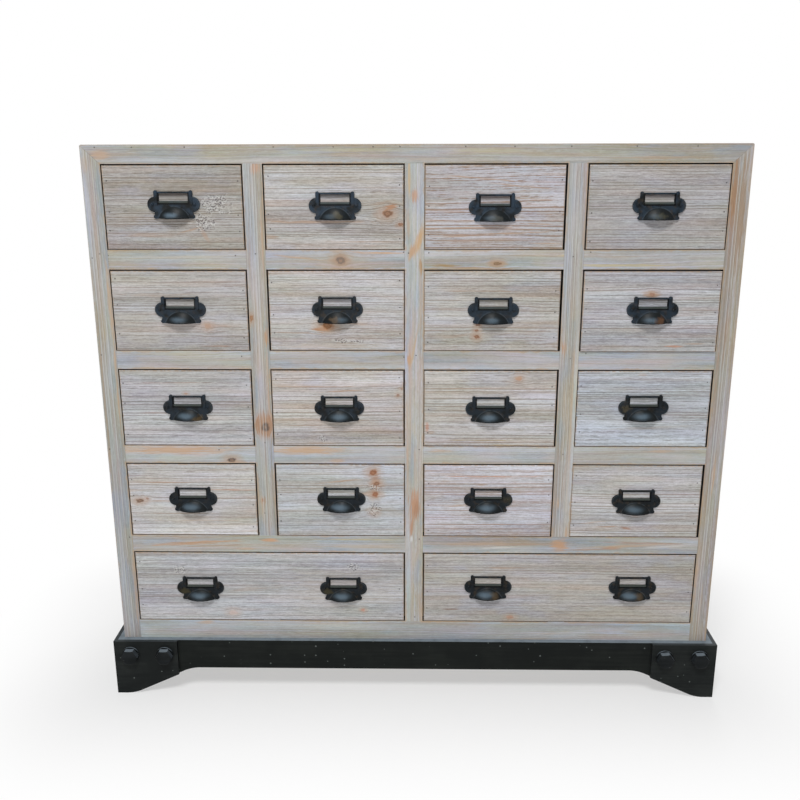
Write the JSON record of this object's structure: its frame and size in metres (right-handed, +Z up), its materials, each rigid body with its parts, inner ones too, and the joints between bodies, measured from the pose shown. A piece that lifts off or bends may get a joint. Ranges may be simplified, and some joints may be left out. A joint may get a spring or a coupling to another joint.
{
  "type": "multi-drawer cabinet",
  "caption": "Wide chest of small inset drawers over longer ones, with a nailed face frame, cast label-holder cup pulls and a black bolted base on ogee feet.",
  "frame": {"origin": "bottom centre of the whole cabinet, on the floor", "axes": "+X to the right along the width, +Y to the back, +Z up; the drawer fronts face -Y"},
  "size_m": [1.134, 0.4102, 1.0127],
  "materials": {
    "drawer_wood": "lime-washed, brushed fir with an open grain; raw wood inside",
    "frame_wood": "lime-washed fir, nailed, satin",
    "side_wood": "lime-washed fir boards",
    "carcass_wood": "raw fir, unfinished",
    "plywood": "raw plywood",
    "block_wood": "fir, painted black like the base",
    "base_paint": "black satin paint on wood",
    "plate_steel": "black satin paint",
    "bolt_steel": "black satin paint, worn at the edges",
    "pull_iron": "dark waxed cast iron, rubbed brown at the lip"
  },
  "bodies": {
    "cabinet": {"top_board": "side_wood", "bottom_board": "carcass_wood", "left_side": "side_wood", "right_side": "side_wood", "back_panel": "plywood", "centre_partition": "carcass_wood", "quarter_partitions": "carcass_wood", "lower_shelves": "carcass_wood", "drawer_runners": "carcass_wood", "drawer_guides": "carcass_wood", "top_rail": "frame_wood", "bottom_rail": "frame_wood", "left_stile": "frame_wood", "right_stile": "frame_wood", "centre_stile": "frame_wood", "divider_stiles": "frame_wood", "short_rails": "frame_wood", "long_rails": "frame_wood", "base_front_skirt": "base_paint", "base_back_skirt": "base_paint", "base_side_skirts": "base_paint", "base_blocks": "block_wood", "corner_plates": "plate_steel", "corner_bolts": "bolt_steel"},
    "body_r1c1": {"drawer_r1c1": "drawer_wood", "pull_r1c1": "pull_iron"},
    "body_r1c2": {"drawer_r1c2": "drawer_wood", "pull_r1c2": "pull_iron"},
    "body_r1c3": {"drawer_r1c3": "drawer_wood", "pull_r1c3": "pull_iron"},
    "body_r1c4": {"drawer_r1c4": "drawer_wood", "pull_r1c4": "pull_iron"},
    "body_r2c1": {"drawer_r2c1": "drawer_wood", "pull_r2c1": "pull_iron"},
    "body_r2c2": {"drawer_r2c2": "drawer_wood", "pull_r2c2": "pull_iron"},
    "body_r2c3": {"drawer_r2c3": "drawer_wood", "pull_r2c3": "pull_iron"},
    "body_r2c4": {"drawer_r2c4": "drawer_wood", "pull_r2c4": "pull_iron"},
    "body_r3c1": {"drawer_r3c1": "drawer_wood", "pull_r3c1": "pull_iron"},
    "body_r3c2": {"drawer_r3c2": "drawer_wood", "pull_r3c2": "pull_iron"},
    "body_r3c3": {"drawer_r3c3": "drawer_wood", "pull_r3c3": "pull_iron"},
    "body_r3c4": {"drawer_r3c4": "drawer_wood", "pull_r3c4": "pull_iron"},
    "body_r4c1": {"drawer_r4c1": "drawer_wood", "pull_r4c1": "pull_iron"},
    "body_r4c2": {"drawer_r4c2": "drawer_wood", "pull_r4c2": "pull_iron"},
    "body_r4c3": {"drawer_r4c3": "drawer_wood", "pull_r4c3": "pull_iron"},
    "body_r4c4": {"drawer_r4c4": "drawer_wood", "pull_r4c4": "pull_iron"},
    "body_wide_left": {"drawer_wide_left": "drawer_wood", "pulls_wide_left": "pull_iron"},
    "body_wide_right": {"drawer_wide_right": "drawer_wood", "pulls_wide_right": "pull_iron"}
  },
  "joints": [
    {"name": "slide_r1c1", "type": "slide", "parent": "cabinet", "child": "body_r1c1", "axis": [0, -1, 0], "range_m": [0, 0.25]},
    {"name": "slide_r1c2", "type": "slide", "parent": "cabinet", "child": "body_r1c2", "axis": [0, -1, 0], "range_m": [0, 0.25]},
    {"name": "slide_r1c3", "type": "slide", "parent": "cabinet", "child": "body_r1c3", "axis": [0, -1, 0], "range_m": [0, 0.25]},
    {"name": "slide_r1c4", "type": "slide", "parent": "cabinet", "child": "body_r1c4", "axis": [0, -1, 0], "range_m": [0, 0.25]},
    {"name": "slide_r2c1", "type": "slide", "parent": "cabinet", "child": "body_r2c1", "axis": [0, -1, 0], "range_m": [0, 0.25]},
    {"name": "slide_r2c2", "type": "slide", "parent": "cabinet", "child": "body_r2c2", "axis": [0, -1, 0], "range_m": [0, 0.25]},
    {"name": "slide_r2c3", "type": "slide", "parent": "cabinet", "child": "body_r2c3", "axis": [0, -1, 0], "range_m": [0, 0.25]},
    {"name": "slide_r2c4", "type": "slide", "parent": "cabinet", "child": "body_r2c4", "axis": [0, -1, 0], "range_m": [-0.004, 0.246]},
    {"name": "slide_r3c1", "type": "slide", "parent": "cabinet", "child": "body_r3c1", "axis": [0, -1, 0], "range_m": [0, 0.25]},
    {"name": "slide_r3c2", "type": "slide", "parent": "cabinet", "child": "body_r3c2", "axis": [0, -1, 0], "range_m": [0, 0.25]},
    {"name": "slide_r3c3", "type": "slide", "parent": "cabinet", "child": "body_r3c3", "axis": [0, -1, 0], "range_m": [0, 0.25]},
    {"name": "slide_r3c4", "type": "slide", "parent": "cabinet", "child": "body_r3c4", "axis": [0, -1, 0], "range_m": [0, 0.25]},
    {"name": "slide_r4c1", "type": "slide", "parent": "cabinet", "child": "body_r4c1", "axis": [0, -1, 0], "range_m": [0, 0.25]},
    {"name": "slide_r4c2", "type": "slide", "parent": "cabinet", "child": "body_r4c2", "axis": [0, -1, 0], "range_m": [0, 0.25]},
    {"name": "slide_r4c3", "type": "slide", "parent": "cabinet", "child": "body_r4c3", "axis": [0, -1, 0], "range_m": [0, 0.25]},
    {"name": "slide_r4c4", "type": "slide", "parent": "cabinet", "child": "body_r4c4", "axis": [0, -1, 0], "range_m": [0, 0.25]},
    {"name": "slide_wide_left", "type": "slide", "parent": "cabinet", "child": "body_wide_left", "axis": [0, -1, 0], "range_m": [0, 0.25]},
    {"name": "slide_wide_right", "type": "slide", "parent": "cabinet", "child": "body_wide_right", "axis": [0, -1, 0], "range_m": [0, 0.25]}
  ]
}
